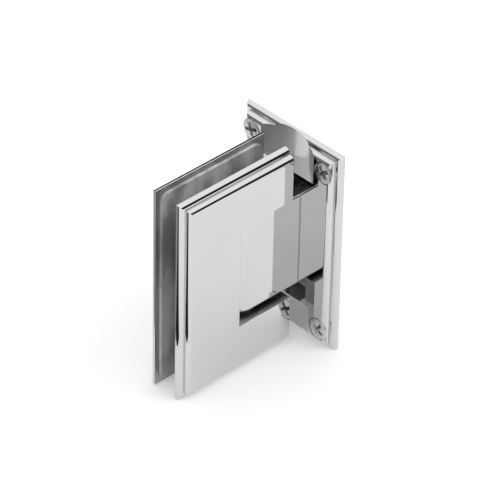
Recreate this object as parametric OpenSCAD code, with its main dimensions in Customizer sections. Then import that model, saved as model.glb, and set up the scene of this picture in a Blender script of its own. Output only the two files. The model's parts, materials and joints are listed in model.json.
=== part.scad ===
// Wall-to-glass door hinge with moulded edges.
// A wall plate carries a fixed pivot block. Two clamp plates grip the glass door
// and turn on a vertical pin that runs through the block.
// X runs out from the wall, Y across the wall and Z up along the pin.
// The origin is the centre of the wall plate's back face.

/* [Plates] */
// Height of the wall plate and of both clamp plates
plate_h = 90; // [88:1:110]
// Width of the wall plate
wall_w = 51; // [51:0.5:64]
// Length of each clamp plate, measured away from the wall
clamp_l = 55; // [54:1:70]
// Space between the wall plate's face and the clamp plates
wall_gap = 6.6; // [5.6:0.2:8]

/* [Moulded edge] */
// Thickness of the outer tier
outer_tier_t = 2.6; // [2.4:0.1:2.8]
// Radius that rounds the outer tier
outer_tier_r = 2.3; // [1.8:0.1:2.3]
// Width of the outer tier, up to the foot of the inner one
outer_tier_w = 2.5; // [2.4:0.1:2.6]
// Thickness that the inner tier adds
inner_tier_t = 2.4; // [2.2:0.1:2.6]
// Radius that rounds the inner tier, up to the flat face
inner_tier_r = 2.1; // [1.6:0.1:2.1]

/* [Swing relief] */
// Radius of the hollows that the glass edge swings through, about the pin
relief_r = 28.3; // [27:0.1:28.3]
// Height above and below the middle at which the hollows begin
relief_z = 29; // [24:1:31]

/* [Wall screws] */
// Distance of the wall screws from the plate's upright edges
screw_inset_y = 6.3; // [6.2:0.1:6.4]
// Distance of the wall screws from the plate's top and bottom edges
screw_inset_z = 8.5; // [8:0.1:10]
// Head diameter of a wall screw
screw_head_d = 9; // [8:0.1:9]
// Diameter of a wall screw's plain neck inside the plate
screw_neck_d = 4.2; // [3.6:0.1:4.4]
// Outer diameter of a wall screw's thread, behind the plate
screw_thread_d = 4.8; // [4.5:0.1:5]
// Diameter of the holes for the wall screws
screw_hole_d = 5.4; // [5.2:0.1:5.6]
// Length of thread that stands out behind the plate
screw_out = 4; // [2:0.5:5]
// Ring of space between a screw head and the mouth of its seat
head_play = 0.3; // [0.2:0.05:0.3]

/* [Pivot block] */
// Thickness of the pivot block
block_t = 15.7; // [15:0.1:16.5]
// Height of the pivot block
block_h = 41.6; // [40:0.2:44]
// Radius that rounds the block's top and bottom edges
block_round = 0.9; // [0.4:0.1:1]
// Chamfer where the block's sides meet the wall plate
foot_chamfer = 0.5; // [0.3:0.1:0.8]
// Distance of the pin axis from the wall
pin_x = 29.5; // [29.4:0.1:30.5]
// Diameter of the two bores for the spring plungers
plunger_bore_d = 7; // [6.4:0.2:7.4]
// Spacing of the two plunger bores
plunger_pitch = 10; // [9:0.5:11]
// Spacing of the two screws that hold the block
block_screw_pitch = 31; // [29:0.5:33]
// Diameter of the screws that hold the block
block_screw_d = 6; // [5:0.5:6]
// Head diameter of the screws that hold the block
block_head_d = 11; // [10:0.5:11.4]
// Depth of the screws in the block
block_screw_depth = 12; // [8:1:14]

/* [Plungers and springs] */
// Space between the plungers and the round of the pin
plunger_gap = 0.1; // [0.1:0.05:0.4]
// Length of a plunger
plunger_l = 11; // [9:0.5:12]
// Diameter of the spring pocket in a plunger
pocket_d = 5.2; // [5:0.1:5.4]
// Depth of the spring pocket in a plunger
pocket_depth = 6; // [4:0.5:8]
// Diameter of a spring, middle to middle of the wire
coil_d = 4; // [3.6:0.1:4.1]
// Diameter of the spring wire
wire_d = 0.8; // [0.5:0.1:0.8]

/* [Pin and bushes] */
// Diameter of the hinge pin
pin_d = 10; // [9:0.2:10.4]
// Outer diameter of the bushes
bush_d = 12.5; // [12.2:0.1:13]
// Length of a bush inside the block
bush_l = 8; // [6:0.5:9]
// Diameter of the flange on a bush
flange_d = 13.8; // [13.4:0.1:13.9]
// Thickness of the flange on a bush
flange_t = 1.6; // [0.8:0.1:1.8]
// Distance between the flats on each end of the pin
tang_t = 8; // [7:0.2:8.6]
// Length of pin held at each end by the clamp plates
tang_l = 6.4; // [5:0.2:7]
// Depth of the three holding flats round the middle of the pin
cam_depth = 0.9; // [0.4:0.1:1.2]
// Height of the holding flats
cam_h = 20; // [18:1:22]

/* [Glass clamp] */
// Thickness of the glass door
glass_t = 8; // [7:0.5:10]
// Thickness of each gasket
gasket_t = 1.5; // [1:0.1:2]
// Inset of the gaskets from the edge of the clamp plates
gasket_inset = 2; // [1.5:0.5:3]
// Radius of the gasket corners
gasket_r = 4; // [2:0.5:5]
// Space between the block's nose and the end of the notch
nose_gap = 0.75; // [0.5:0.05:1.5]
// Width of the boss beyond the notch
boss_web = 11; // [10:0.5:12]
// Height of the boss above and below the notch
boss_arm = 9; // [8.5:0.5:10]
// Corner radius of the boss
boss_r = 4; // [2:0.5:5]
// Inset of the boss from the clamp plates' edge by the wall
boss_inset = 1.5; // [1:0.5:3]
// Diameter of the clamp screws
clamp_screw_d = 6; // [5:0.5:6]
// Head diameter of the clamp screws
clamp_head_d = 11; // [10:0.5:11]
// Length of the clamp screws
clamp_screw_l = 16; // [14:0.5:17]
// Spacing of the clamp screws
clamp_screw_pitch = 46; // [44:1:48]

/* [Fits] */
// Running clearance of the pin in its bushes, on the radius
run_fit = 0.05; // [0.02:0.01:0.1]
// Clearance of pieces that fit snugly into others, on the radius or each side
snug_fit = 0.05; // [0.02:0.01:0.1]
// Play between the bush flanges and the clamp plates
end_play = 0.2; // [0.1:0.05:0.3]
// Space left between the two bosses
boss_gap = 0.4; // [0.2:0.1:0.8]
// Space between the gaskets and the bosses
gasket_fit = 0.3; // [0.1:0.05:0.5]

/* [Hidden] */
$fn = 64;

chrome = [0.86, 0.87, 0.88];
steel = [0.72, 0.73, 0.74];
rubber = [0.24, 0.25, 0.26];
acetal = [0.1, 0.1, 0.11];

// Extra length that makes a cut pass clear through
over = 1;
// Share of a screw head's diameter that its cross recess spans
recess_share = 0.56;
plate_t = outer_tier_t + inner_tier_t;
clamp_x = plate_t + wall_gap;
slot = glass_t + 2 * gasket_t;
notch_h = block_h + 2 * (flange_t + end_play);
notch_x = pin_x + block_t / 2 + nose_gap;
notch_l = notch_x - clamp_x;
boss_l = notch_l - boss_inset + boss_web;
boss_h = notch_h + 2 * boss_arm;
boss_t = (slot - boss_gap) / 2;
pin_top = notch_h / 2 + tang_l;
plunger_tip_x = pin_x - pin_d / 2 - plunger_gap;
spring_l = plunger_tip_x - plunger_l + pocket_depth - plate_t;

// One tier of a plate's outline, its two upper corners rounded
module tier(w, t, r) {
    translate([-w / 2 + r, 0]) square([w - 2 * r, t]);
    translate([-w / 2, 0]) square([w, t - r]);
    for (side = [-1, 1])
        translate([side * (w / 2 - r), t - r]) circle(r = r);
}

// Outline of a moulded plate across its width; its left edge may be plain
module plate_outline(w, plain) {
    tier(w, outer_tier_t, outer_tier_r);
    tier(w - 2 * outer_tier_w, plate_t, inner_tier_r);
    if (plain)
        translate([-w / 2, 0]) square([w / 2, plate_t]);
}

// A plate with mitred moulded edges, its back cut flat on z = 0; the edge on -X may be plain
module moulded_plate(w, h, plain) {
    intersection() {
        translate([-w / 2, -h / 2, 0])
            cube([w, h, plate_t]);
        rotate([90, 0, 0])
            linear_extrude(height = h + 2 * over, center = true)
                plate_outline(w, plain);
        rotate([90, 0, 90])
            linear_extrude(height = w + 2 * over, center = true)
                plate_outline(h, false);
    }
}

module rounded_box_outline(w, h, r) {
    square([w - 2 * r, h], center = true);
    square([w, h - 2 * r], center = true);
    for (x = [-1, 1], y = [-1, 1])
        translate([x * (w / 2 - r), y * (h / 2 - r)]) circle(r = r);
}

// A straight hole with a conical seat for a countersunk head, its mouth at z = 0
module screw_hole(hole_d, head_d, depth) {
    mouth_d = head_d + 2 * head_play;
    cone_h = (mouth_d - hole_d) / 2;
    translate([0, 0, -depth]) cylinder(d = hole_d, h = depth);
    translate([0, 0, -cone_h]) cylinder(d1 = hole_d, d2 = mouth_d, h = cone_h);
    cylinder(d = mouth_d, h = over);
}

// A cross recess, its mouth at z = 0
module cross_recess(size, depth) {
    arm_w = size / 4;
    for (turn = [0, 90])
        rotate([0, 0, turn])
            translate([-size / 2, -arm_w / 2, -depth])
                cube([size, arm_w, depth + over]);
    translate([0, 0, -depth])
        cylinder(d1 = arm_w, d2 = size * 0.7, h = depth);
}

// A countersunk screw along -Z with its head flush with z = 0
module flat_screw(shank_d, head_d, length, turn) {
    cone_h = (head_d - shank_d) / 2;
    difference() {
        union() {
            translate([0, 0, -head_play]) cylinder(d = head_d, h = head_play);
            translate([0, 0, -head_play - cone_h])
                cylinder(d1 = shank_d, d2 = head_d, h = cone_h);
            translate([0, 0, -length]) cylinder(d = shank_d, h = length - head_play - cone_h);
        }
        rotate([0, 0, turn]) cross_recess(head_d * recess_share, head_d * 0.28);
    }
}

// A wire wound into a helix along z
module coil(length, turns) {
    steps = 14;
    sides = 8;
    n = turns * steps;
    rise = length - wire_d;
    ring = [for (i = [0 : n]) let(
            a = 360 * i / steps,
            z = wire_d / 2 + rise * i / n)
        for (j = [0 : sides - 1]) let(
                b = 360 * j / sides,
                r = coil_d / 2 + wire_d / 2 * cos(b))
            [r * cos(a), r * sin(a), z + wire_d / 2 * sin(b)]];
    skin = [for (i = [0 : n - 1], j = [0 : sides - 1]) let(
            k = (j + 1) % sides)
        [i * sides + j, i * sides + k, (i + 1) * sides + k, (i + 1) * sides + j]];
    start_cap = [[for (j = [sides - 1 : -1 : 0]) j]];
    end_cap = [[for (j = [0 : sides - 1]) n * sides + j]];
    polyhedron(points = ring, faces = concat(skin, start_cap, end_cap));
}

module on_wall_face(y, z) {
    translate([plate_t, y * (wall_w / 2 - screw_inset_y), z * (plate_h / 2 - screw_inset_z)])
        rotate([0, 90, 0]) children();
}

module on_wall_back(z) {
    translate([0, 0, z * block_screw_pitch / 2])
        rotate([0, -90, 0]) children();
}

module wall_plate() {
    color(chrome)
    difference() {
        rotate([90, 0, 90])
            moulded_plate(wall_w, plate_h, false);
        for (z = [relief_z, -plate_h / 2 - over])
            translate([pin_x, 0, z])
                cylinder(r = relief_r, h = plate_h / 2 + over - relief_z, $fn = 128);
        for (y = [-1, 1], z = [-1, 1])
            on_wall_face(y, z)
                screw_hole(screw_hole_d, screw_head_d, plate_t + over);
        for (z = [-1, 1])
            on_wall_back(z)
                screw_hole(block_screw_d + 2 * snug_fit, block_head_d, plate_t + over);
    }
}

module wall_screw(y, z, turn) {
    on_wall_face(y, z) {
        flat_screw(screw_neck_d, screw_head_d, plate_t, turn);
        translate([0, 0, -plate_t - screw_out])
            cylinder(d = screw_thread_d, h = screw_out);
    }
}

module wall_screw_1() {
    color(chrome) wall_screw(-1, 1, 20);
}

module wall_screw_2() {
    color(chrome) wall_screw(1, 1, 40);
}

module wall_screw_3() {
    color(chrome) wall_screw(-1, -1, 5);
}

module wall_screw_4() {
    color(chrome) wall_screw(1, -1, 57);
}

// The block's straight part, with rounded edges above and below
module block_arm() {
    translate([plate_t, 0, 0])
        rotate([90, 0, 90])
            linear_extrude(height = pin_x - plate_t)
                rounded_box_outline(block_t, block_h, block_round);
}

// The block's full-round nose about the pin, with the same rounded edges
module block_nose() {
    r = block_round;
    translate([pin_x, 0, 0])
        rotate_extrude($fn = 128) {
            translate([0, -block_h / 2]) square([block_t / 2 - r, block_h]);
            translate([0, r - block_h / 2]) square([block_t / 2, block_h - 2 * r]);
            for (side = [-1, 1])
                translate([block_t / 2 - r, side * (block_h / 2 - r)]) circle(r = r);
        }
}

module pivot_block() {
    chamfer_side = foot_chamfer * sqrt(2);
    color(chrome)
    difference() {
        union() {
            block_arm();
            block_nose();
        }
        for (side = [-1, 1])
            translate([plate_t, side * block_t / 2, 0])
                rotate([0, 0, 45])
                    cube([chamfer_side, chamfer_side, block_h + 2 * over], center = true);
        translate([pin_x, 0, -block_h / 2 - over])
            cylinder(d = pin_d + 4 * run_fit, h = block_h + 2 * over);
        for (z = [block_h / 2 - bush_l, -block_h / 2 - over])
            translate([pin_x, 0, z])
                cylinder(d = bush_d + 2 * snug_fit, h = bush_l + over);
        for (z = [-1, 1])
            translate([plate_t - over, 0, z * plunger_pitch / 2])
                rotate([0, 90, 0])
                    cylinder(d = plunger_bore_d, h = pin_x - plate_t + over);
        for (z = [-1, 1])
            translate([plate_t - over, 0, z * block_screw_pitch / 2])
                rotate([0, 90, 0])
                    cylinder(d = block_screw_d + 2 * snug_fit, h = block_screw_depth + 2 * over);
    }
}

module block_screw(z) {
    on_wall_back(z)
        flat_screw(block_screw_d, block_head_d, plate_t + block_screw_depth, 45);
}

module block_screw_top() {
    color(steel) block_screw(1);
}

module block_screw_bottom() {
    color(steel) block_screw(-1);
}

module bush() {
    translate([pin_x, 0, 0])
        difference() {
            union() {
                translate([0, 0, block_h / 2 - bush_l]) cylinder(d = bush_d, h = bush_l);
                translate([0, 0, block_h / 2]) cylinder(d = flange_d, h = flange_t);
            }
            translate([0, 0, block_h / 2 - bush_l - over])
                cylinder(d = pin_d + 2 * run_fit, h = bush_l + flange_t + 2 * over);
        }
}

module upper_bush() {
    color(acetal) bush();
}

module lower_bush() {
    color(acetal) mirror([0, 0, 1]) bush();
}

module plunger(z) {
    body_d = plunger_bore_d - 2 * snug_fit;
    translate([plunger_tip_x, 0, z * plunger_pitch / 2])
        rotate([0, -90, 0])
            difference() {
                cylinder(d = body_d, h = plunger_l);
                translate([0, 0, plunger_l - pocket_depth])
                    cylinder(d = pocket_d, h = pocket_depth + over);
            }
}

module upper_plunger() {
    color(steel) plunger(1);
}

module lower_plunger() {
    color(steel) plunger(-1);
}

module plunger_spring(z) {
    translate([plate_t, 0, z * plunger_pitch / 2])
        rotate([0, 90, 0]) coil(spring_l, 6);
}

module upper_spring() {
    color(steel) plunger_spring(1);
}

module lower_spring() {
    color(steel) plunger_spring(-1);
}

// The pin's double-flat end, long enough for both ends, grown by a clearance
module pin_tangs(grow) {
    long = 2 * (pin_top + grow);
    intersection() {
        cylinder(d = pin_d + 2 * grow, h = long, center = true);
        cube([pin_d + 4 * grow, tang_t + 2 * grow, long], center = true);
    }
}

module hinge_pin() {
    color(steel)
    translate([pin_x, 0, 0])
        difference() {
            union() {
                cylinder(d = pin_d, h = notch_h, center = true);
                pin_tangs(0);
            }
            for (turn = [90, 180, 270])
                rotate([0, 0, turn])
                    translate([pin_d / 2 - cam_depth, -pin_d / 2, -cam_h / 2])
                        cube([pin_d, pin_d, cam_h]);
        }
}

// The shared shape of both clamp plates, drawn for the rear side
module clamp_half() {
    difference() {
        translate([clamp_x, -slot / 2, 0])
            rotate([90, 0, 0])
                union() {
                    translate([clamp_l / 2, 0, 0])
                        moulded_plate(clamp_l, plate_h, true);
                    translate([boss_inset + boss_l / 2, 0, -boss_t])
                        linear_extrude(height = boss_t + outer_tier_t)
                            rounded_box_outline(boss_l, boss_h, boss_r);
                }
        translate([clamp_x - over, -slot, -notch_h / 2])
            cube([notch_l + over, slot, notch_h]);
        translate([pin_x, 0, 0]) pin_tangs(snug_fit);
    }
}

module on_rear_face(z) {
    translate([notch_x + boss_web / 2, -slot / 2 - plate_t, z * clamp_screw_pitch / 2])
        rotate([90, 0, 0]) children();
}

module front_clamp_plate() {
    blind = 1.5;
    color(chrome)
    difference() {
        mirror([0, 1, 0]) clamp_half();
        for (z = [-1, 1])
            on_rear_face(z)
                translate([0, 0, -clamp_screw_l - blind])
                    cylinder(d = clamp_screw_d + 2 * snug_fit, h = clamp_screw_l);
    }
}

module rear_clamp_plate() {
    color(chrome)
    difference() {
        clamp_half();
        for (z = [-1, 1])
            on_rear_face(z)
                screw_hole(clamp_screw_d + 2 * snug_fit, clamp_head_d, slot + plate_t);
    }
}

module gasket() {
    w = clamp_l - 2 * gasket_inset;
    h = plate_h - 2 * gasket_inset;
    translate([clamp_x, -slot / 2 + gasket_t, 0])
        rotate([90, 0, 0])
            linear_extrude(height = gasket_t)
                difference() {
                    translate([clamp_l / 2, 0]) rounded_box_outline(w, h, gasket_r);
                    translate([boss_inset + boss_l / 2, 0])
                        window_outline();
                }
}

// The window in a gasket, a little larger than the boss
module window_outline() {
    rounded_box_outline(boss_l + 2 * gasket_fit, boss_h + 2 * gasket_fit, boss_r + gasket_fit);
}

module front_gasket() {
    color(rubber) mirror([0, 1, 0]) gasket();
}

module rear_gasket() {
    color(rubber) gasket();
}

module clamp_screw(z) {
    on_rear_face(z)
        flat_screw(clamp_screw_d, clamp_head_d, clamp_screw_l, 45);
}

module clamp_screw_top() {
    color(steel) clamp_screw(1);
}

module clamp_screw_bottom() {
    color(steel) clamp_screw(-1);
}

wall_plate();
wall_screw_1();
wall_screw_2();
wall_screw_3();
wall_screw_4();
pivot_block();
block_screw_top();
block_screw_bottom();
upper_bush();
lower_bush();
upper_plunger();
lower_plunger();
upper_spring();
lower_spring();
hinge_pin();
front_clamp_plate();
rear_clamp_plate();
front_gasket();
rear_gasket();
clamp_screw_top();
clamp_screw_bottom();
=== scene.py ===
import json
import math
import bpy
import bmesh
from mathutils import Matrix, Vector


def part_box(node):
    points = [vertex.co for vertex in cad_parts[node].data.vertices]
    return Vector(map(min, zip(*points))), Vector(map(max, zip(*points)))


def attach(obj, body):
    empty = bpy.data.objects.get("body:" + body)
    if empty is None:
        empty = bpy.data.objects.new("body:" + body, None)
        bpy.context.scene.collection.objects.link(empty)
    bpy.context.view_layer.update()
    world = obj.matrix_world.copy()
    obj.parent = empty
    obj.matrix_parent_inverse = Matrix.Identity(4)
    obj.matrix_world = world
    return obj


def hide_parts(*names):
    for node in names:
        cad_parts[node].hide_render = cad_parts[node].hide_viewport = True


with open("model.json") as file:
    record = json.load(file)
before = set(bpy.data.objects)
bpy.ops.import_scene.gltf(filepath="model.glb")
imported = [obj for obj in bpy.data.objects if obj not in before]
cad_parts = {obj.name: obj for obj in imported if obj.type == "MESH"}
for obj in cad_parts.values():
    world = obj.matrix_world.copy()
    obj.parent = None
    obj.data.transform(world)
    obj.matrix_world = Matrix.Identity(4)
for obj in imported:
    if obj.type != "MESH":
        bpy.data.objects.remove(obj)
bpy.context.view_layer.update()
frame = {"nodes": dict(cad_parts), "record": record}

nodes = frame["nodes"]
bodyOf = {node: body for body, members in frame["record"]["behaviour"]["bodies"].items() for node in members}
slotOf = {part["node"]: part["material_slot"] for part in frame["record"]["subparts"]}
mm = 0.001
print("stage: frame loaded with", len(nodes), "nodes")


# Node trees

class Value:
    # wraps a number socket, so that sums on it add Math nodes
    def __init__(self, tree, socket):
        self.tree = tree
        self.socket = socket

    def sum(self, kind, other, flipped=False):
        maths = self.tree.nodes.new("ShaderNodeMath")
        maths.operation = kind
        pair = (other, self) if flipped else (self, other)
        for slot, item in zip(maths.inputs, pair):
            fillSocket(self.tree, slot, item)
        return Value(self.tree, maths.outputs[0])

    def __add__(self, other):
        return self.sum("ADD", other)

    def __radd__(self, other):
        return self.sum("ADD", other, True)

    def __sub__(self, other):
        return self.sum("SUBTRACT", other)

    def __rsub__(self, other):
        return self.sum("SUBTRACT", other, True)

    def __mul__(self, other):
        return self.sum("MULTIPLY", other)

    def __rmul__(self, other):
        return self.sum("MULTIPLY", other, True)


def fillSocket(tree, slot, item):
    # a slot takes a link from another socket, or a plain number or colour
    if isinstance(item, Value):
        tree.links.new(item.socket, slot)
    elif isinstance(item, bpy.types.NodeSocket):
        tree.links.new(item, slot)
    else:
        slot.default_value = item


class Graph:
    # one node tree, and the only place that adds nodes other than Math to it
    def __init__(self, tree):
        self.tree = tree
        tree.nodes.clear()

    def add(self, kind, settings=None, inputs=None):
        made = self.tree.nodes.new(kind)
        for name, item in (settings or {}).items():
            setattr(made, name, item)
        for name, item in (inputs or {}).items():
            fillSocket(self.tree, made.inputs[name], item)
        return made

    def value(self, made, name):
        return Value(self.tree, made.outputs[name])


# Finishes
# In their dictionaries a noise is its scale, detail, roughness and a factor for each axis, where a small
# one draws the grain out. A span is the part of a noise that is used, and a bump is its strength and its
# depth in metres.

def grey(tone):
    return (tone, tone, tone, 1)


def newMaterial(name):
    made = bpy.data.materials.new(name)
    made.use_nodes = True
    return made, Graph(made.node_tree)


def noiseValue(graph, scale, detail, rough=0.5, stretch=(1, 1, 1)):
    # noise on Object coordinates, which are metres
    coords = graph.add("ShaderNodeTexCoord")
    mapped = graph.add("ShaderNodeMapping", inputs={"Vector": coords.outputs["Object"], "Scale": stretch})
    noise = graph.add("ShaderNodeTexNoise", inputs={
        "Vector": mapped.outputs["Vector"], "Scale": scale, "Detail": detail, "Roughness": rough})
    return graph.value(noise, "Fac")


def spread(graph, value, low, high):
    # the part of a value between low and high, stretched to run from 0 to 1
    ramp = graph.add("ShaderNodeMapRange", {"interpolation_type": "SMOOTHSTEP"}, {
        "Value": value, "From Min": low, "From Max": high})
    return graph.value(ramp, "Result")


def blendColour(graph, factor, first, second):
    mix = graph.add("ShaderNodeMix", {"data_type": "RGBA"})
    colourSlots = [slot for slot in mix.inputs if slot.type == "RGBA"]
    fillSocket(graph.tree, mix.inputs[0], factor)
    fillSocket(graph.tree, colourSlots[0], first)
    fillSocket(graph.tree, colourSlots[1], second)
    return next(out for out in mix.outputs if out.type == "RGBA")


def surface(graph, inputs, height, bump):
    # one shader, whose normal comes from the height
    strength, depth = bump
    raised = graph.add("ShaderNodeBump", inputs={"Height": height, "Strength": strength, "Distance": depth})
    shader = graph.add("ShaderNodeBsdfPrincipled", inputs=dict(inputs, Normal=raised.outputs["Normal"]))
    graph.add("ShaderNodeOutputMaterial", inputs={"Surface": shader.outputs["BSDF"]})


chromeLook = {
    "bright": grey(0.628), "dull": (0.6, 0.6, 0.602, 1), "cloud": (55, 2.0),
    "roughness": 0.02, "hazeRough": 0.07, "haze": (140, 4.0), "hazeSpan": (0.45, 0.8),
    "hairlines": (1500, 5.0, 0.65, (1, 1, 0.04)), "peel": (240, 2.0), "bump": (0.12, 0.0000015),
}


def makeChrome():
    # bright plate: a faint cloud in its tone, hairlines left by the buff, and a little haze
    made, graph = newMaterial("polishedChrome")
    cloud = noiseValue(graph, *chromeLook["cloud"])
    hairlines = noiseValue(graph, *chromeLook["hairlines"])
    haze = spread(graph, noiseValue(graph, *chromeLook["haze"]), *chromeLook["hazeSpan"])
    surface(graph, {
        "Base Color": blendColour(graph, cloud, chromeLook["dull"], chromeLook["bright"]),
        "Metallic": 1.0,
        "Roughness": chromeLook["roughness"] + chromeLook["hazeRough"] * haze * hairlines,
    }, noiseValue(graph, *chromeLook["peel"]), chromeLook["bump"])
    return made


# Darker, duller metal, which paints the shade in the glass slot, in the wall screws' seats and in the screws'
# crosses, and is nearly black on the block's ends: two tones, roughness, and the factors for the axes of their
# noises
shadeAndDullLook = {
    "innerPlateShade": (grey(0.46), grey(0.38), 0.26, (0.4, 0.4, 0.4)),
    "blockEnd": (grey(0.2), grey(0.05), 0.2, (0.3, 1, 1)),
    "screwSeatShade": (grey(0.16), grey(0.05), 0.35, (1, 1, 1)),
    "screwCrossShade": (grey(0.72), grey(0.36), 0.2, (1, 1, 1)),
}
plainGrain = {
    "cloud": (240, 4.0, 0.6), "cloudSpan": (0.35, 0.65), "grain": (2600, 3.0, 0.6), "grainRough": 0.12,
    "bump": (0.25, 0.000012),
}


def makeShadeAndDullPlate(name):
    # a darker, duller metal, painted shade where it lies in the slot, seats and crosses: a broad cloud, and
    # grain along the cut
    light, dark, rough, stretch = shadeAndDullLook[name]
    made, graph = newMaterial(name)
    cloud = spread(graph, noiseValue(graph, *plainGrain["cloud"], stretch), *plainGrain["cloudSpan"])
    grain = noiseValue(graph, *plainGrain["grain"], stretch)
    surface(graph, {
        "Base Color": blendColour(graph, cloud, dark, light),
        "Metallic": 1.0,
        "Roughness": rough + plainGrain["grainRough"] * grain,
    }, grain, plainGrain["bump"])
    return made


# The hollows: the upper one is smoother on its +Y side, with a tone of its own there as a painted lit side,
# and both are a little darker at their -Y end, which is painted shade. The fades are in mm along Y and Z.
hollowLook = {
    # the first tone is the painted lit side's, the second the shaded side's, and the third the painted shade at
    # the -Y end
    "litSide": grey(0.5), "plain": grey(0.56), "edge": grey(0.48), "litSideRough": 0.1, "shadedSideRough": 0.3,
    "litSideFade": (-0.8, 0.8), "endShadeFade": (-9.0, -13.5), "litSideHeightFade": (-1, 1),
    "grain": (900, 4.0, 0.6, (1, 1, 0.08)), "grainRough": 0.06, "bump": (0.15, 0.00001),
}


def makeHollow():
    made, graph = newMaterial("satinHollow")
    coords = graph.add("ShaderNodeTexCoord")
    place = graph.add("ShaderNodeSeparateXYZ", inputs={0: coords.outputs["Object"]})

    def fade(axis, key):
        return spread(graph, graph.value(place, axis), *(reach * mm for reach in hollowLook[key]))

    # the upper hollow's +Y half takes the painted lit side, and both hollows' -Y ends take a painted shade
    side, edge = fade("Y", "litSideFade"), fade("Y", "endShadeFade")
    litSide = side * fade("Z", "litSideHeightFade")
    grain = noiseValue(graph, *hollowLook["grain"])
    shadedSideTone = blendColour(graph, edge, hollowLook["plain"], hollowLook["edge"])
    surface(graph, {
        "Base Color": blendColour(graph, litSide, shadedSideTone, hollowLook["litSide"]),
        "Metallic": 1.0,
        "Roughness": hollowLook["shadedSideRough"] + hollowLook["grainRough"] * grain
        - litSide * (hollowLook["shadedSideRough"] - hollowLook["litSideRough"]),
    }, grain, hollowLook["bump"])
    return made


screwLook = {
    "bright": grey(0.68), "dull": grey(0.5), "cloud": (700, 4.0), "cloudSpan": (0.35, 0.7),
    "roughness": 0.14, "cloudRough": 0.16, "grain": (4200, 3.0, 0.6), "grainRough": 0.08,
    "bump": (0.35, 0.000012),
}


def makeScrewMetal():
    # satin plate on the screws, with fine grain and duller patches
    made, graph = newMaterial("satinScrew")
    cloud = spread(graph, noiseValue(graph, *screwLook["cloud"]), *screwLook["cloudSpan"])
    grain = noiseValue(graph, *screwLook["grain"])
    surface(graph, {
        "Base Color": blendColour(graph, cloud, screwLook["bright"], screwLook["dull"]),
        "Metallic": 1.0,
        "Roughness": screwLook["roughness"] + screwLook["cloudRough"] * cloud + screwLook["grainRough"] * grain,
    }, grain, screwLook["bump"])
    return made


gasketLook = {
    "dark": grey(0.3), "light": grey(0.64), "cloud": (90, 4.0, 0.6, (1, 1, 0.45)), "cloudSpan": (0.34, 0.62),
    "roughness": 0.36, "cloudRough": 0.14, "grain": (2800, 3.0), "grainRough": 0.08,
    "coat": 0.1, "coatRough": 0.12, "bump": (0.25, 0.00002),
}


def makeGasketRubber():
    # smooth grey sheet: a slow cloud, fine grain, and a rolled surface that shines a little
    made, graph = newMaterial("gasketRubber")
    cloud = spread(graph, noiseValue(graph, *gasketLook["cloud"]), *gasketLook["cloudSpan"])
    grain = noiseValue(graph, *gasketLook["grain"])
    surface(graph, {
        "Base Color": blendColour(graph, cloud, gasketLook["dark"], gasketLook["light"]),
        "Roughness": gasketLook["roughness"] + gasketLook["cloudRough"] * cloud
        + gasketLook["grainRough"] * grain,
        "Coat Weight": gasketLook["coat"], "Coat Roughness": gasketLook["coatRough"],
    }, grain, gasketLook["bump"])
    return made


steelLook = {
    "bright": (0.56, 0.57, 0.58, 1), "dull": (0.44, 0.45, 0.46, 1), "cloud": (150, 2.0),
    "roughness": 0.2, "rings": (700, 3.0, 0.6, (0.15, 0.15, 4)), "ringRough": 0.15, "bump": (0.25, 0.00001),
}


def makeTurnedSteel():
    made, graph = newMaterial("turnedSteel")
    rings = noiseValue(graph, *steelLook["rings"])
    cloud = noiseValue(graph, *steelLook["cloud"])
    surface(graph, {
        "Base Color": blendColour(graph, cloud, steelLook["dull"], steelLook["bright"]),
        "Metallic": 1.0,
        "Roughness": steelLook["roughness"] + steelLook["ringRough"] * rings,
    }, rings, steelLook["bump"])
    return made


bushLook = {
    "dark": (0.018, 0.018, 0.02, 1), "light": (0.032, 0.032, 0.035, 1), "cloud": (300, 3.0),
    "roughness": 0.4, "cloudRough": 0.2, "grain": (3000, 2.0), "bump": (0.2, 0.00001),
}


def makeBushPlastic():
    made, graph = newMaterial("bushPlastic")
    cloud = noiseValue(graph, *bushLook["cloud"])
    surface(graph, {
        "Base Color": blendColour(graph, cloud, bushLook["dark"], bushLook["light"]),
        "Roughness": bushLook["roughness"] + bushLook["cloudRough"] * cloud,
    }, noiseValue(graph, *bushLook["grain"]), bushLook["bump"])
    return made


# the darker finishes, which paint the shade in the slot, seats and crosses, the block's dark ends, and the
# hollows' finish
plain = {name: makeShadeAndDullPlate(name) for name in shadeAndDullLook}
plain["satinHollow"] = makeHollow()
screwMetal = makeScrewMetal()
finishes = {
    "chrome": makeChrome(), "steel": makeTurnedSteel(), "gasket": makeGasketRubber(), "bush": makeBushPlastic(),
}
for name, part in nodes.items():
    part.data.materials.clear()
    part.data.materials.append(finishes[slotOf[name]])
print("stage: finishes made")


# Meshes

def linked(name, mesh):
    made = bpy.data.objects.new(name, mesh)
    bpy.context.collection.objects.link(made)
    return made


def settled(source, name):
    # the evaluated result of a piece's modifiers, as a plain mesh under a new name
    bpy.context.view_layer.update()
    graph = bpy.context.evaluated_depsgraph_get()
    mesh = bpy.data.meshes.new_from_object(
        source.evaluated_get(graph), preserve_all_data_layers=True, depsgraph=graph)
    source.modifiers.clear()
    bpy.data.objects.remove(source)
    return linked(name, mesh)


def standIn(piece, names):
    # the piece takes the place of the CAD nodes and moves with their body
    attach(piece, bodyOf[names[0]])
    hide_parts(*names)
    return piece


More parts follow.
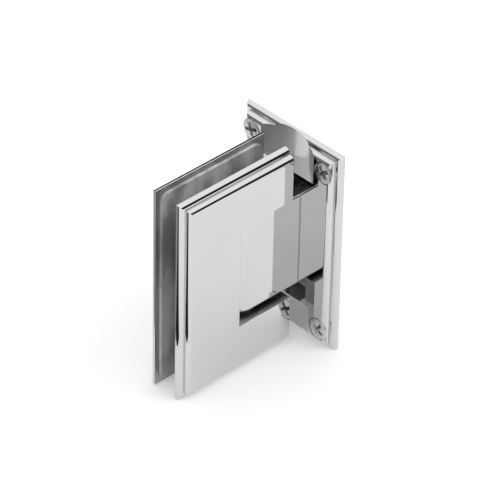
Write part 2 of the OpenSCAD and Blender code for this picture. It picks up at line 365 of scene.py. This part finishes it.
# Where the faces with finishes of their own lie: the painted shade in the glass slot and round the wall screws,
# the hollows, and the block's nearly black ends. Lengths are in mm: the glass slot's half width, the hollows'
# radius about the pin and the height that they start at, and the radius of a screw seat. The rest are shares of
# a face's normal along one axis.
faceLook = {
    "slotHalf": 5.51, "hollowRadius": 28.3, "hollowStart": 28.9, "slack": 0.05, "seatRadius": 4.78,
    "blockEnd": 0.98, "hollowTilt": 0.5, "seatTilt": 0.9,
}
wallNodes = ["wall_screw_1", "wall_screw_2", "wall_screw_3", "wall_screw_4"]
pinX = sum(corner[0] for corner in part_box("hinge_pin")) / 2


def seatCentre(node, axis, faceAt):
    # the middle of a screw's head, where its axis meets the face of its seat
    low, high = (Vector(corner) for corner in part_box(node))
    middle = (low + high) / 2
    middle[axis] = faceAt
    return middle


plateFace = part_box("wall_plate")[1][0]
wallSeats = [seatCentre(node, 0, plateFace) for node in wallNodes]


def inHollow(centre, normal):
    away = math.hypot(centre.x - pinX, centre.y) / mm
    onWall = abs(away - faceLook["hollowRadius"]) < faceLook["slack"] and abs(normal.z) < faceLook["hollowTilt"]
    return onWall and abs(centre.z) > faceLook["hollowStart"] * mm


def inScrewSeat(centre, normal):
    # the cones and bores round the four wall screws, which take a painted shade, but not the face that they
    # open in
    reach = faceLook["seatRadius"] * mm
    near = any(math.hypot(centre.y - seat.y, centre.z - seat.z) < reach for seat in wallSeats)
    return near and abs(normal.x) < faceLook["seatTilt"]


# Angles in degrees and lengths in mm; square is how nearly a face's normal lies along one axis
edgeLook = {"sharpAngle": 24.0, "flatAngle": 0.05, "mergeDistance": 0.0002, "segments": 2, "square": 0.9999}


def isSquare(face):
    return max(abs(share) for share in face.normal) > edgeLook["square"]


def weld(mesh, everyEdge):
    # joins a node's loose triangles and clears the lines that cross its flat faces
    work = bmesh.new()
    work.from_mesh(mesh)
    bmesh.ops.remove_doubles(work, verts=work.verts, dist=edgeLook["mergeDistance"] * mm)
    bmesh.ops.dissolve_limit(work, angle_limit=math.radians(edgeLook["flatAngle"]),
                             verts=work.verts, edges=work.edges)
    # only outside corners are marked for breaking: all of them, or those between two square faces
    marks = work.edges.layers.float.new("bevel_weight_edge")
    hollow = {face: inHollow(face.calc_center_median(), face.normal) for face in work.faces}
    for edge in work.edges:
        if not edge.is_manifold:
            continue
        sharp = edge.calc_face_angle() > math.radians(edgeLook["sharpAngle"])
        edge[marks] = float(sharp and edge.is_convex and (everyEdge or all(map(isSquare, edge.link_faces))))
        # a hollow keeps a crisp border, so that its shading doesn't run on into the moulded edge
        edge.smooth = not sharp and len({hollow[face] for face in edge.link_faces}) == 1
    for face in work.faces:
        face.smooth = True
    work.to_mesh(mesh)
    work.free()


def softened(node, name, width, everyEdge):
    # a welded copy of a CAD node, its sharp edges broken by width in mm
    mesh = nodes[node].data.copy()
    weld(mesh, everyEdge)
    source = linked("soften_" + node, mesh)
    bevel = source.modifiers.new("edges", "BEVEL")
    bevel.width = width * mm
    bevel.segments = edgeLook["segments"]
    bevel.limit_method = "WEIGHT"
    bevel.use_clamp_overlap = False
    flow = source.modifiers.new("normals", "WEIGHTED_NORMAL")
    flow.keep_sharp = True
    return settled(source, name)


# The pieces whose form comes straight from the frame: the width of their broken edges in mm, and whether
# every sharp edge is broken or only those between square faces
softPieces = {
    "wall_plate": ("wallPlate", 0.12, False), "pivot_block": ("pivotBlock", 0.1, False),
    "front_clamp_plate": ("frontClampPlate", 0.16, False), "rear_clamp_plate": ("rearClampPlate", 0.16, False),
    "front_gasket": ("frontGasket", 0.2, True), "rear_gasket": ("rearGasket", 0.2, True),
    "upper_bush": ("upperBush", 0.12, True), "lower_bush": ("lowerBush", 0.12, True),
    "upper_plunger": ("upperPlunger", 0.12, True), "lower_plunger": ("lowerPlunger", 0.12, True),
    "hinge_pin": ("hingePin", 0.15, True),
}
pieces = {}
for node, (name, width, everyEdge) in softPieces.items():
    pieces[node] = standIn(softened(node, name, width, everyEdge), [node])
print("stage: smooth pieces made")


def paintFaces(piece, material, chosen):
    # gives the faces that chosen picks a finish of their own
    piece.data.materials.append(material)
    last = len(piece.data.materials) - 1
    for face in piece.data.polygons:
        if chosen(face.center, face.normal):
            face.material_index = last


paintFaces(pieces["pivot_block"], plain["blockEnd"],
           lambda centre, normal: abs(normal.z) > faceLook["blockEnd"])
paintFaces(pieces["wall_plate"], plain["satinHollow"], inHollow)
# the seats round the wall screws take a painted shade
paintFaces(pieces["wall_plate"], plain["screwSeatShade"], inScrewSeat)
# the faces inside the glass slot take a darker, duller metal as painted shade between the plates
for node in ("front_clamp_plate", "rear_clamp_plate"):
    paintFaces(pieces[node], plain["innerPlateShade"],
               lambda centre, normal: abs(centre.y) < faceLook["slotHalf"] * mm)
print("stage: unbuffed faces painted")


# Screws
# What all the screws share, in mm and degrees. The dome ends at domeReach of the head's radius. rimIn,
# rimTop and rimMiddle are shares of the rim, crossDepth of the head, wingReach of the cross's span and
# wingFoot of its width.
screwForm = {
    "sides": 64, "domeSteps": 6, "domeReach": 0.94, "rimIn": 0.3, "rimTop": 0.12, "rimMiddle": 0.55,
    "neckFoot": 0.3, "tip": 0.6, "edge": 0.07, "edgeSegments": 2, "edgeAngle": 32, "sharpAngle": 35,
    "crossDepth": 0.3, "crossRise": 0.5, "crossOverlap": 0.02, "wingReach": 0.16, "wingFoot": 0.3,
    "crossPaintBelow": -0.15, "crossPaintTilt": 0.02, "threadShort": 1.0, "threadLift": 0.7, "threadSides": 4,
}


def finishedMesh(name, work):
    bmesh.ops.recalc_face_normals(work, faces=work.faces)
    mesh = bpy.data.meshes.new(name)
    work.to_mesh(mesh)
    work.free()
    return linked(name, mesh)


def revolved(name, outline, count):
    # a closed solid of revolution about Z from (radius, height) points in mm, top pole first
    work = bmesh.new()
    turns = [math.tau * step / count for step in range(count)]
    rings = [[work.verts.new(Vector((radius * math.cos(turn), radius * math.sin(turn), height)) * mm)
              for turn in turns] for radius, height in outline[1:-1]]
    top = work.verts.new((0, 0, outline[0][1] * mm))
    bottom = work.verts.new((0, 0, outline[-1][1] * mm))
    for step in range(count):
        after = (step + 1) % count
        work.faces.new((top, rings[0][step], rings[0][after]))
        for upper, lower in zip(rings, rings[1:]):
            work.faces.new((upper[step], lower[step], lower[after], upper[after]))
        work.faces.new((bottom, rings[-1][after], rings[-1][step]))
    return finishedMesh(name, work)


def crossCutter(screw):
    # four wings that taper towards the bottom of the recess, as the driver needs them
    work = bmesh.new()
    span, width = screw["head"] * screw["crossSpan"], screw["head"] * screw["crossWidth"]
    depth, back = screw["head"] * screwForm["crossDepth"], -screwForm["crossOverlap"]
    levels = ((screwForm["crossRise"], span / 2, width / 2),
              (-depth, span * screwForm["wingReach"], width * screwForm["wingFoot"]))
    for turn in range(4):
        spin = Matrix.Rotation(math.radians(90 * turn), 3, "Z")
        corners = [work.verts.new(spin @ Vector((x, y, height)) * mm)
                   for height, reach, half in levels
                   for x, y in ((back, -half), (reach, -half), (reach, half), (back, half))]
        for face in ((0, 1, 2, 3), (7, 6, 5, 4), (0, 4, 5, 1), (1, 5, 6, 2), (2, 6, 7, 3), (3, 7, 4, 0)):
            work.faces.new([corners[index] for index in face])
    return finishedMesh("crossCutter", work)


def headOutline(screw):
    # the outline of a countersunk head: a low dome, a rounded rim and the cone under it
    radius, dome, rim = screw["head"] / 2, screw["dome"], screw["rim"]
    outline = [(0, dome)]
    for step in range(1, screwForm["domeSteps"] + 1):
        share = step / screwForm["domeSteps"] * screwForm["domeReach"]
        outline.append((radius * share, dome * (1 - share ** 2)))
    outline += [(radius - rim * screwForm["rimIn"], -rim * screwForm["rimTop"]),
                (radius, -rim * screwForm["rimMiddle"]), (radius, -rim)]
    coneFoot = -rim - (radius - screw["neck"] / 2)
    outline.append((screw["neck"] / 2, coneFoot))
    return outline


def screwBody(name, screw):
    # head, neck, thread core and a chamfered tip, with the cross recess cut out
    core, bottom, tip = screw["core"] / 2, -screw["length"], screwForm["tip"]
    outline = headOutline(screw)
    outline += [(screw["neck"] / 2, screw["threadTop"] + screwForm["neckFoot"]), (core, screw["threadTop"]),
                (core, bottom + tip), (core - tip, bottom), (0, bottom)]
    body = revolved(name, outline, screwForm["sides"])
    body.data.materials.append(finishes["steel"])
    cutter = crossCutter(screw)
    cut = body.modifiers.new("recess", "BOOLEAN")
    cut.operation, cut.solver, cut.object, cut.use_self = "DIFFERENCE", "EXACT", cutter, True
    soft = body.modifiers.new("edges", "BEVEL")
    soft.width, soft.segments, soft.limit_method = screwForm["edge"] * mm, screwForm["edgeSegments"], "ANGLE"
    soft.angle_limit, soft.use_clamp_overlap = math.radians(screwForm["edgeAngle"]), False
    solid = settled(body, name + "Solid")
    bpy.data.objects.remove(cutter)
    solid.data.shade_smooth()
    solid.data.set_sharp_from_angle(angle=math.radians(screwForm["sharpAngle"]))
    # the driver's recess has a finish of its own, a blotchy tone that paints the shade in it
    paintFaces(solid, plain["screwCrossShade"], lambda centre, normal: (
        centre.z < screwForm["crossPaintBelow"] * mm and normal.z > screwForm["crossPaintTilt"]))
    return solid


def newTree(name, sockets):
    # a Geometry Nodes tree with one geometry in and out, and the named inputs
    tree = bpy.data.node_groups.new(name, "GeometryNodeTree")
    tree.interface.new_socket("Geometry", in_out="INPUT", socket_type="NodeSocketGeometry")
    for label, kind in sockets:
        tree.interface.new_socket(label, in_out="INPUT", socket_type=kind)
    tree.interface.new_socket("Geometry", in_out="OUTPUT", socket_type="NodeSocketGeometry")
    return tree, Graph(tree)


def applyTree(target, tree, values):
    # named inputs are set by their socket's identifier before the object is first evaluated
    modifier = target.modifiers.new(tree.name, "NODES")
    modifier.node_group = tree
    for item in tree.interface.items_tree:
        if item.item_type == "SOCKET" and item.in_out == "INPUT" and item.name in values:
            modifier[item.identifier] = values[item.name]


helixSteps = 28  # points in each turn of a thread or a spring


def sweptHelix(graph, source, radius, height, turns, wire, sides):
    # a helix rising along Z, swept with a round or many-sided section
    helix = graph.add("GeometryNodeCurveSpiral", inputs={
        "Resolution": helixSteps, "Rotations": source.outputs[turns], "Start Radius": source.outputs[radius],
        "End Radius": source.outputs[radius], "Height": source.outputs[height]})
    section = graph.add("GeometryNodeCurvePrimitiveCircle", {"mode": "RADIUS"}, {
        "Resolution": sides, "Radius": source.outputs[wire]})
    return graph.add("GeometryNodeCurveToMesh", inputs={
        "Curve": helix.outputs["Curve"], "Profile Curve": section.outputs["Curve"], "Fill Caps": True})


def makeScrewTree():
    # puts a screw and its thread on each point, turned by the point's own spin
    tree, graph = newTree("screwRow", [
        ("Screw", "NodeSocketObject"), ("Thread radius", "NodeSocketFloat"), ("Ridge", "NodeSocketFloat"),
        ("Thread height", "NodeSocketFloat"), ("Turns", "NodeSocketFloat"), ("Thread foot", "NodeSocketVector"),
        ("Finish", "NodeSocketMaterial")])
    source = graph.add("NodeGroupInput")
    body = graph.add("GeometryNodeObjectInfo", inputs={"Object": source.outputs["Screw"]})
    thread = sweptHelix(graph, source, "Thread radius", "Thread height", "Turns", "Ridge",
                        screwForm["threadSides"])
    placed = graph.add("GeometryNodeTransform", inputs={
        "Geometry": thread.outputs["Mesh"], "Translation": source.outputs["Thread foot"]})
    whole = graph.add("GeometryNodeJoinGeometry")
    for shape in (placed, body):
        fillSocket(tree, whole.inputs["Geometry"], shape.outputs["Geometry"])
    spin = graph.add("GeometryNodeInputNamedAttribute", {"data_type": "FLOAT_VECTOR"}, {"Name": "spin"})
    turned = graph.add("FunctionNodeEulerToRotation", inputs={"Euler": spin.outputs["Attribute"]})
    rows = graph.add("GeometryNodeInstanceOnPoints", inputs={
        "Points": source.outputs["Geometry"], "Instance": whole.outputs["Geometry"],
        "Rotation": turned.outputs["Rotation"]})
    real = graph.add("GeometryNodeRealizeInstances", inputs={"Geometry": rows.outputs["Instances"]})
    # only faces in the first slot take the finish, so the recess keeps its own
    index = graph.add("GeometryNodeInputMaterialIndex")
    firstSlot = graph.add("FunctionNodeCompare", {"data_type": "INT", "operation": "EQUAL"})
    given, wanted = [slot for slot in firstSlot.inputs if slot.type == "INT"]
    fillSocket(tree, given, index.outputs[0])
    fillSocket(tree, wanted, 0)
    painted = graph.add("GeometryNodeSetMaterial", inputs={
        "Geometry": real.outputs["Geometry"], "Selection": firstSlot.outputs["Result"],
        "Material": source.outputs["Finish"]})
    graph.add("NodeGroupOutput", inputs={"Geometry": painted.outputs["Geometry"]})
    return tree


screwTree = makeScrewTree()


def pointMesh(name, places, spins):
    mesh = bpy.data.meshes.new(name)
    mesh.from_pydata([tuple(place) for place in places], [], [])
    layer = mesh.attributes.new("spin", "FLOAT_VECTOR", "POINT")
    for index, spin in enumerate(spins):
        layer.data[index].vector = spin
    return linked(name, mesh)


def spinTowards(axis, turn):
    # the Euler angles that point a screw's head along axis, turned about it by turn degrees
    align = Vector((0, 0, 1)).rotation_difference(Vector(axis)).to_matrix()
    return tuple((align @ Matrix.Rotation(math.radians(turn), 3, "Z")).to_euler())


def placeScrews(name, screw, names, seats, finish):
    # one row of like screws, made plain and put in place of its nodes
    body = screwBody(name + "Body", screw)
    points = pointMesh(name + "Points", seats, [spinTowards(screw["axis"], turn) for turn in screw["turns"]])
    threadHeight = screw["length"] + screw["threadTop"] - screwForm["threadShort"]
    applyTree(points, screwTree, {
        "Screw": body, "Thread radius": screw["core"] / 2 * mm, "Ridge": screw["ridge"] * mm,
        "Thread height": threadHeight * mm, "Turns": threadHeight / screw["pitch"],
        "Thread foot": (0, 0, (-screw["length"] + screwForm["threadLift"]) * mm), "Finish": finish})
    row = settled(points, name)
    bpy.data.objects.remove(body)
    standIn(row, names)


# Each kind of screw, in mm, with the way its head points and how far each one happens to be turned.
# The top of the thread is measured from the face of the seat, and the ridge is the thread's half width.
wallScrew = {
    "head": 9.0, "dome": 0.28, "rim": 0.3, "neck": 4.2, "core": 3.7, "length": 9.0, "threadTop": -5.2,
    "crossSpan": 0.74, "crossWidth": 0.17, "pitch": 0.95, "ridge": 0.5,
    "axis": (1, 0, 0), "turns": (110, 130, 95, 147),
}
blockScrew = {
    "head": 11.0, "dome": 0.0, "rim": 0.3, "neck": 6.0, "core": 5.0, "length": 17.0, "threadTop": -6.0,
    "crossSpan": 0.74, "crossWidth": 0.17, "pitch": 1.0, "ridge": 0.45,
    "axis": (-1, 0, 0), "turns": (45, 45),
}
clampScrew = dict(blockScrew, length=16.0, threadTop=-7.0, axis=(0, -1, 0))

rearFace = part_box("rear_clamp_plate")[0][1]
blockNodes = ["block_screw_top", "block_screw_bottom"]
clampNodes = ["clamp_screw_top", "clamp_screw_bottom"]
placeScrews("wallScrews", wallScrew, wallNodes, wallSeats, screwMetal)
placeScrews("blockScrews", blockScrew, blockNodes, [seatCentre(node, 0, 0.0) for node in blockNodes],
            finishes["steel"])
placeScrews("clampScrews", clampScrew, clampNodes, [seatCentre(node, 1, rearFace) for node in clampNodes],
            finishes["steel"])
print("stage: screws placed")


# Springs

springLook = {"wire": 0.4, "coil": 2.0, "turns": 6.0, "sides": 12}  # radii in mm


def makeSpringTree():
    # one round-wire helix laid along X from its point
    tree, graph = newTree("springCoil", [
        ("Coil radius", "NodeSocketFloat"), ("Wire radius", "NodeSocketFloat"), ("Length", "NodeSocketFloat"),
        ("Turns", "NodeSocketFloat"), ("Finish", "NodeSocketMaterial")])
    source = graph.add("NodeGroupInput")
    coil = sweptHelix(graph, source, "Coil radius", "Length", "Turns", "Wire radius", springLook["sides"])
    laid = graph.add("GeometryNodeTransform", inputs={
        "Geometry": coil.outputs["Mesh"], "Rotation": (0, math.pi / 2, 0)})
    smooth = graph.add("GeometryNodeSetShadeSmooth", inputs={"Geometry": laid.outputs["Geometry"]})
    rows = graph.add("GeometryNodeInstanceOnPoints", inputs={
        "Points": source.outputs["Geometry"], "Instance": smooth.outputs["Geometry"]})
    real = graph.add("GeometryNodeRealizeInstances", inputs={"Geometry": rows.outputs["Instances"]})
    painted = graph.add("GeometryNodeSetMaterial", inputs={
        "Geometry": real.outputs["Geometry"], "Material": source.outputs["Finish"]})
    graph.add("NodeGroupOutput", inputs={"Geometry": painted.outputs["Geometry"]})
    return tree


springTree = makeSpringTree()
for node, name in (("upper_spring", "upperSpring"), ("lower_spring", "lowerSpring")):
    low, high = (Vector(corner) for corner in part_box(node))
    wire = springLook["wire"] * mm
    foot = Vector((low.x + wire, (low.y + high.y) / 2, (low.z + high.z) / 2))
    point = pointMesh(name + "Point", [foot], [(0, 0, 0)])
    applyTree(point, springTree, {
        "Coil radius": springLook["coil"] * mm, "Wire radius": wire, "Length": high.x - low.x - 2 * wire,
        "Turns": springLook["turns"], "Finish": finishes["steel"]})
    standIn(settled(point, name), [node])
print("stage: springs wound")


# Floor, surroundings, light and camera
# The floor's height and half width are in mm; where it fades, and the lamp, are in metres. The ceiling
# begins between skyLow and skyHigh, heights of a direction, and the brighter side lies along rightWay.

stageLook = {
    "floorHeight": -45.0, "floorHalf": 4000.0, "floorColour": grey(0.86), "floorShade": grey(0.84),
    "floorCloud": (30, 3.0), "floorLift": 0.3, "floorNear": 0.2, "floorFar": 0.5, "dim": 0.03,
    "skyLow": 0.5, "skyHigh": 0.58, "skyDark": 0.02, "skyRight": 0.25, "skyBright": 1.22,
    "rightWay": (0.707, -0.707, 0), "rightSpan": (0.1, 0.6),
    "keyPower": 4.0, "keySize": 0.8, "keyPlace": (-0.6, 0.9, 1.4),
}


def emitter(graph, strength):
    return graph.add("ShaderNodeEmission", inputs={"Color": grey(1), "Strength": strength}).outputs[0]


def flatSheet(name, low, high, height, material):
    mesh = bpy.data.meshes.new(name)
    mesh.from_pydata([(low[0], low[1], height), (high[0], low[1], height), (high[0], high[1], height),
                      (low[0], high[1], height)], [], [(0, 1, 2, 3)])
    mesh.materials.append(material)
    return linked(name, mesh)


def makeFloor():
    # a pale table: lifted a little for the camera and the metal, and fading into a dim room for the metal
    made, graph = newMaterial("paleFloor")
    path = graph.add("ShaderNodeLightPath")
    camera, glossy = graph.value(path, "Is Camera Ray"), graph.value(path, "Is Glossy Ray")
    through = graph.value(path, "Is Transmission Ray")
    table = graph.add("ShaderNodeBsdfDiffuse", inputs={"Color": blendColour(
        graph, noiseValue(graph, *stageLook["floorCloud"]), stageLook["floorShade"], stageLook["floorColour"])})
    lit = graph.add("ShaderNodeAddShader", inputs={
        0: table.outputs[0], 1: emitter(graph, (camera + glossy + through) * stageLook["floorLift"])})
    coords = graph.add("ShaderNodeTexCoord")
    reach = graph.add("ShaderNodeVectorMath", {"operation": "LENGTH"}, {0: coords.outputs["Object"]})
    far = spread(graph, graph.value(reach, "Value"), stageLook["floorNear"], stageLook["floorFar"])
    mixed = graph.add("ShaderNodeMixShader", inputs={
        0: far * (1 - camera), 1: lit.outputs[0], 2: emitter(graph, stageLook["dim"])})
    graph.add("ShaderNodeOutputMaterial", inputs={"Surface": mixed.outputs[0]})
    half, low = stageLook["floorHalf"] * mm, stageLook["floorHeight"] * mm
    flatSheet("floor", (-half, -half), (half, half), low, made)


# Cards laid beside the object, which only the metal sees: low and high corners in mm, and their tone
cardLook = {
    "blackCard": ((98, -20), (260, 28), 0.02), "greyCard": ((90, -140), (260, -20), 0.36),
}
cardLift = 0.6  # mm above the floor


def makeCards():
    for name, (low, high, tone) in cardLook.items():
        made, graph = newMaterial(name)
        graph.add("ShaderNodeOutputMaterial", inputs={"Surface": emitter(graph, tone)})
        card = flatSheet(name, [edge * mm for edge in low], [edge * mm for edge in high],
                         (stageLook["floorHeight"] + cardLift) * mm, made)
        card.visible_camera = False
        card.visible_diffuse = False
        card.visible_shadow = False


def makeWorld():
    # a soft bright ceiling over a dim room, and white where the camera sees it
    world = bpy.data.worlds.new("studio")
    bpy.context.scene.world = world
    world.use_nodes = True
    graph = Graph(world.node_tree)
    camera = graph.value(graph.add("ShaderNodeLightPath"), "Is Camera Ray")
    coords = graph.add("ShaderNodeTexCoord")
    height = graph.add("ShaderNodeSeparateXYZ", inputs={0: coords.outputs["Generated"]})
    ceiling = spread(graph, graph.value(height, "Z"), stageLook["skyLow"], stageLook["skyHigh"])
    aside = graph.add("ShaderNodeVectorMath", {"operation": "DOT_PRODUCT"}, {
        0: coords.outputs["Generated"], 1: stageLook["rightWay"]})
    rightSide = spread(graph, graph.value(aside, "Value"), *stageLook["rightSpan"])
    room = stageLook["skyDark"] + rightSide * (stageLook["skyRight"] - stageLook["skyDark"])
    glow = room + ceiling * (stageLook["skyBright"] - room)
    sky = graph.add("ShaderNodeBackground", inputs={
        "Color": grey(1), "Strength": glow * (1 - camera) + camera})
    graph.add("ShaderNodeOutputWorld", inputs={"Surface": sky.outputs[0]})


# Angles in degrees; distance, target, lens and sensor in mm; clip in metres
cameraLook = {
    "azimuth": 135.51, "elevation": 36.88, "roll": 1.25, "distance": 1460.7,
    "target": (23.14, 0.0, -0.27), "lens": 280.3, "sensor": 36, "clip": (0.05, 20),
}


def makeCamera():
    az, el, roll = (math.radians(cameraLook[key]) for key in ("azimuth", "elevation", "roll"))
    back = Vector((math.sin(az) * math.cos(el), -math.cos(az) * math.cos(el), math.sin(el)))
    side = (-back).cross(Vector((0, 0, 1))).normalized()
    up = side.cross(-back)
    right = side * math.cos(roll) + up * math.sin(roll)
    top = up * math.cos(roll) - side * math.sin(roll)
    camera = bpy.data.cameras.new("camera")
    camera.sensor_width = cameraLook["sensor"]
    camera.lens = cameraLook["lens"]
    camera.clip_start, camera.clip_end = cameraLook["clip"]
    holder = linked("camera", camera)
    holder.matrix_world = Matrix((right, top, back)).transposed().to_4x4()
    holder.location = (Vector(cameraLook["target"]) + back * cameraLook["distance"]) * mm
    bpy.context.scene.camera = holder


def makeKey():
    lamp = bpy.data.lights.new("key", "AREA")
    lamp.energy = stageLook["keyPower"]
    lamp.size = stageLook["keySize"]
    key = linked("key", lamp)
    key.location = stageLook["keyPlace"]
    key.rotation_mode = "QUATERNION"
    key.rotation_quaternion = Vector(key.location).to_track_quat("Z", "Y")
    key.visible_glossy = False


makeFloor()
makeCards()
makeWorld()
makeCamera()
makeKey()
bpy.context.scene.view_settings.view_transform = "Standard"
print("stage: floor, light and camera placed")
